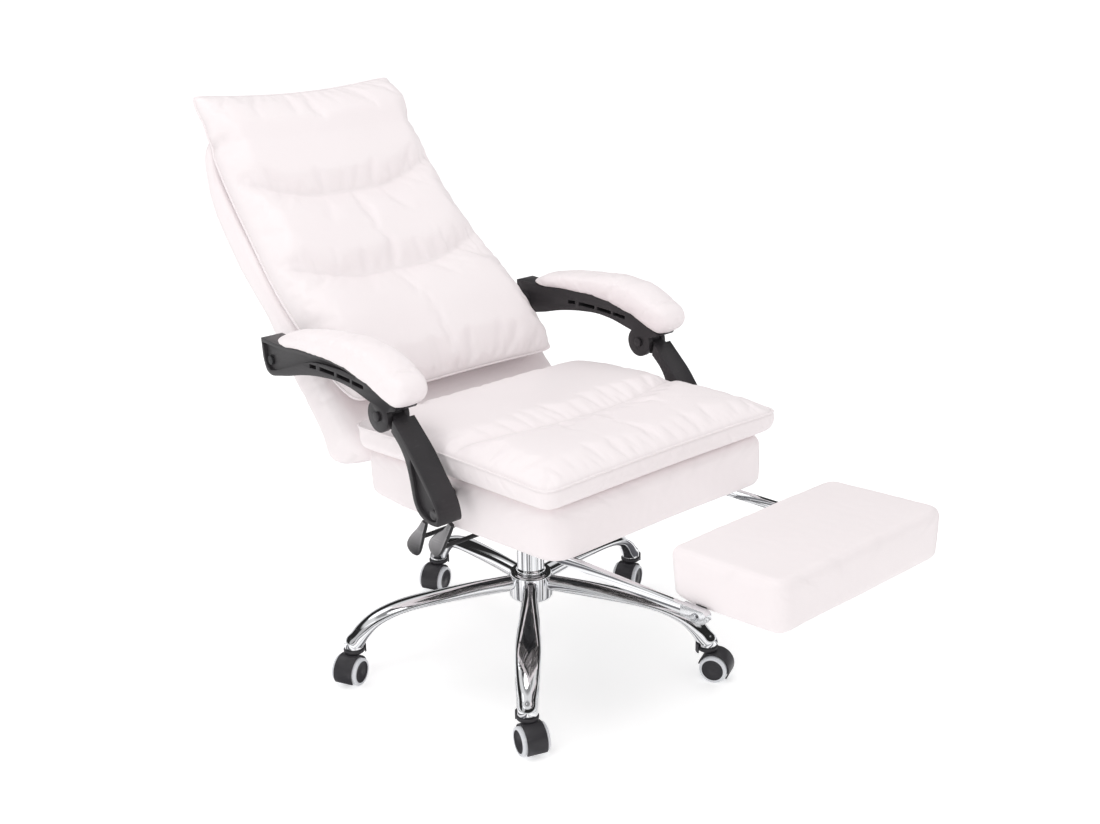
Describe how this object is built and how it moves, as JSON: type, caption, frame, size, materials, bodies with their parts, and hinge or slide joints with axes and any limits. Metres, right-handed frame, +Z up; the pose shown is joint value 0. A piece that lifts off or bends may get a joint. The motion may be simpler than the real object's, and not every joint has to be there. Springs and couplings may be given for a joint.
{
  "type": "reclining office chair",
  "caption": "Swivel office chair on a star base with casters, with a reclining padded back, linked arms and a pull-out padded footrest that turns over.",
  "frame": {"origin": "on the floor, on the axis of the gas lift and swivel", "axes": "+X the way the sitter faces, +Y the sitter's left, +Z up; the chair is laid back with its footrest out"},
  "size_m": [1.4213, 0.7038, 0.9954],
  "materials": {
    "chrome": "mirror",
    "bright_steel": "satin",
    "black_steel": "satin",
    "satin_zinc": "satin",
    "charcoal_nylon": "satin",
    "grey_tread": "matte",
    "white_leather": "soft sheen",
    "plywood": "matte"
  },
  "bodies": {
    "base": {"star_base": "chrome", "gas_lift_column": "chrome", "caster_stem_1": "bright_steel", "caster_stem_2": "bright_steel", "caster_stem_3": "bright_steel", "caster_stem_4": "bright_steel", "caster_stem_5": "bright_steel"},
    "lift": {"gas_lift_rod": "bright_steel"},
    "seat": {"seat_mechanism": "black_steel", "seat_hinge_bracket": "black_steel", "seat_frame": "plywood", "seat_cushion": "white_leather", "seat_pad": "white_leather", "recline_shaft": "bright_steel", "rail_guide_left": "black_steel", "rail_guide_right": "black_steel", "arm_foot_bolt_left": "black_steel", "arm_foot_bolt_right": "black_steel"},
    "back": {"back_frame": "black_steel", "back_shell": "white_leather", "back_pad": "white_leather", "arm_rear_bolt_left": "black_steel", "arm_rear_bolt_right": "black_steel"},
    "lock_cylinder": {"recline_lock_cylinder": "black_steel"},
    "lock_rod": {"recline_lock_rod": "bright_steel"},
    "footrest_frame": {"footrest_rail_left": "chrome", "footrest_rail_right": "chrome", "footrest_end_block_left": "satin_zinc", "footrest_end_block_right": "satin_zinc", "footrest_pivot_bolt_left": "bright_steel", "footrest_pivot_bolt_right": "bright_steel"},
    "footrest": {"footrest_board": "black_steel", "footrest_pad": "white_leather"},
    "lower_arm_left": {"lower_arm_left": "charcoal_nylon", "elbow_bolt_left": "black_steel"},
    "upper_arm_left": {"upper_arm_left": "charcoal_nylon", "arm_pad_left": "white_leather"},
    "lower_arm_right": {"lower_arm_right": "charcoal_nylon", "elbow_bolt_right": "black_steel"},
    "upper_arm_right": {"upper_arm_right": "charcoal_nylon", "arm_pad_right": "white_leather"},
    "recline_lever": {"recline_lever_rod": "bright_steel", "recline_lever_handle": "charcoal_nylon"},
    "height_lever": {"height_lever_rod": "bright_steel", "height_lever_handle": "charcoal_nylon"},
    "caster_1": {"caster_hood_1": "charcoal_nylon"},
    "wheel_left_1": {"caster_wheel_left_1": "grey_tread"},
    "wheel_right_1": {"caster_wheel_right_1": "grey_tread"},
    "caster_2": {"caster_hood_2": "charcoal_nylon"},
    "wheel_left_2": {"caster_wheel_left_2": "grey_tread"},
    "wheel_right_2": {"caster_wheel_right_2": "grey_tread"},
    "caster_3": {"caster_hood_3": "charcoal_nylon"},
    "wheel_left_3": {"caster_wheel_left_3": "grey_tread"},
    "wheel_right_3": {"caster_wheel_right_3": "grey_tread"},
    "caster_4": {"caster_hood_4": "charcoal_nylon"},
    "wheel_left_4": {"caster_wheel_left_4": "grey_tread"},
    "wheel_right_4": {"caster_wheel_right_4": "grey_tread"},
    "caster_5": {"caster_hood_5": "charcoal_nylon"},
    "wheel_left_5": {"caster_wheel_left_5": "grey_tread"},
    "wheel_right_5": {"caster_wheel_right_5": "grey_tread"}
  },
  "joints": [
    {"name": "seat_lift", "type": "slide", "parent": "base", "child": "lift", "axis": [0, 0, 1], "range_m": [0, 0.08]},
    {"name": "seat_swivel", "type": "hinge", "parent": "lift", "child": "seat", "pos_m": [0, 0, 0.3], "axis": [0, 0, 1], "continuous": true},
    {"name": "back_recline", "type": "hinge", "parent": "seat", "child": "back", "pos_m": [-0.19, 0, 0.42], "axis": [0, 1, 0], "range_deg": [0, 30]},
    {"name": "arm_foot_left", "type": "hinge", "parent": "seat", "child": "lower_arm_left", "pos_m": [0.098, 0.3, 0.42], "axis": [0, 1, 0], "range_deg": [0, 36]},
    {"name": "arm_elbow_left", "type": "hinge", "parent": "lower_arm_left", "child": "upper_arm_left", "pos_m": [0.001, 0.3, 0.544], "axis": [0, 1, 0], "range_deg": [-33.5, 0]},
    {"name": "arm_foot_right", "type": "hinge", "parent": "seat", "child": "lower_arm_right", "pos_m": [0.098, -0.3, 0.42], "axis": [0, 1, 0], "range_deg": [0, 36]},
    {"name": "arm_elbow_right", "type": "hinge", "parent": "lower_arm_right", "child": "upper_arm_right", "pos_m": [0.001, -0.3, 0.544], "axis": [0, 1, 0], "range_deg": [-33.5, 0]},
    {"name": "lock_front_pivot", "type": "hinge", "parent": "seat", "child": "lock_cylinder", "pos_m": [0.06, 0.078, 0.324], "axis": [0, 1, 0], "range_deg": [-0.6, 0]},
    {"name": "lock_stroke", "type": "slide", "parent": "lock_cylinder", "child": "lock_rod", "axis": [-0.9969, 0, 0.0782], "range_m": [0, 0.042]},
    {"name": "footrest_slide", "type": "slide", "parent": "seat", "child": "footrest_frame", "axis": [0.9994, 0, 0.0349], "range_m": [-0.3, 0]},
    {"name": "footrest_turn", "type": "hinge", "parent": "footrest_frame", "child": "footrest", "pos_m": [0.5875, 0, 0.3605], "axis": [0, 1, 0], "range_deg": [0, 180.1]},
    {"name": "recline_lever_lift", "type": "hinge", "parent": "seat", "child": "recline_lever", "pos_m": [0.028, -0.0585, 0.322], "axis": [-1, 0, 0], "range_deg": [0, 4]},
    {"name": "height_lever_lift", "type": "hinge", "parent": "seat", "child": "height_lever", "pos_m": [0.085, -0.0585, 0.322], "axis": [-1, 0, 0], "range_deg": [0, 4]},
    {"name": "caster_swivel_1", "type": "hinge", "parent": "base", "child": "caster_1", "pos_m": [0.29186, 0.16445, 0.06], "axis": [0, 0, 1], "continuous": true},
    {"name": "wheel_spin_left_1", "type": "hinge", "parent": "caster_1", "child": "wheel_left_1", "pos_m": [0.30726, 0.17164, 0.025], "axis": [-0.4226, 0.9063, 0], "continuous": true},
    {"name": "wheel_spin_right_1", "type": "hinge", "parent": "caster_1", "child": "wheel_right_1", "pos_m": [0.30726, 0.17164, 0.025], "axis": [-0.4226, 0.9063, 0], "continuous": true},
    {"name": "caster_swivel_2", "type": "hinge", "parent": "base", "child": "caster_2", "pos_m": [-0.06622, 0.32839, 0.06], "axis": [0, 0, 1], "continuous": true},
    {"name": "wheel_spin_left_2", "type": "hinge", "parent": "caster_2", "child": "wheel_left_2", "pos_m": [-0.0593, 0.31286, 0.025], "axis": [0.9135, 0.4067, 0], "continuous": true},
    {"name": "wheel_spin_right_2", "type": "hinge", "parent": "caster_2", "child": "wheel_right_2", "pos_m": [-0.0593, 0.31286, 0.025], "axis": [0.9135, 0.4067, 0], "continuous": true},
    {"name": "caster_swivel_3", "type": "hinge", "parent": "base", "child": "caster_3", "pos_m": [-0.33278, 0.0385, 0.06], "axis": [0, 0, 1], "continuous": true},
    {"name": "wheel_spin_left_3", "type": "hinge", "parent": "caster_3", "child": "wheel_left_3", "pos_m": [-0.32587, 0.02297, 0.025], "axis": [0.9135, 0.4067, 0], "continuous": true},
    {"name": "wheel_spin_right_3", "type": "hinge", "parent": "caster_3", "child": "wheel_right_3", "pos_m": [-0.32587, 0.02297, 0.025], "axis": [0.9135, 0.4067, 0], "continuous": true},
    {"name": "caster_swivel_4", "type": "hinge", "parent": "base", "child": "caster_4", "pos_m": [-0.13945, -0.30459, 0.06], "axis": [0, 0, 1], "continuous": true},
    {"name": "wheel_spin_left_4", "type": "hinge", "parent": "caster_4", "child": "wheel_left_4", "pos_m": [-0.13254, -0.32012, 0.025], "axis": [0.9135, 0.4067, 0], "continuous": true},
    {"name": "wheel_spin_right_4", "type": "hinge", "parent": "caster_4", "child": "wheel_right_4", "pos_m": [-0.13254, -0.32012, 0.025], "axis": [0.9135, 0.4067, 0], "continuous": true},
    {"name": "caster_swivel_5", "type": "hinge", "parent": "base", "child": "caster_5", "pos_m": [0.24659, -0.22675, 0.06], "axis": [0, 0, 1], "continuous": true},
    {"name": "wheel_spin_left_5", "type": "hinge", "parent": "caster_5", "child": "wheel_left_5", "pos_m": [0.26267, -0.23229, 0.025], "axis": [0.3256, 0.9455, 0], "continuous": true},
    {"name": "wheel_spin_right_5", "type": "hinge", "parent": "caster_5", "child": "wheel_right_5", "pos_m": [0.26267, -0.23229, 0.025], "axis": [0.3256, 0.9455, 0], "continuous": true}
  ],
  "couplings": [
    {"joint": "arm_foot_left", "follows": "back_recline", "ratio": 1.1743},
    {"joint": "arm_elbow_left", "follows": "back_recline", "ratio": -1.089},
    {"joint": "arm_foot_right", "follows": "back_recline", "ratio": 1.1743},
    {"joint": "arm_elbow_right", "follows": "back_recline", "ratio": -1.089},
    {"joint": "lock_front_pivot", "follows": "back_recline", "ratio": -0.0158},
    {"joint": "lock_stroke", "follows": "back_recline", "m_per_rad": 0.0781},
    {"joint": "footrest_turn", "follows": "footrest_slide", "rad_per_m": -10.472}
  ]
}
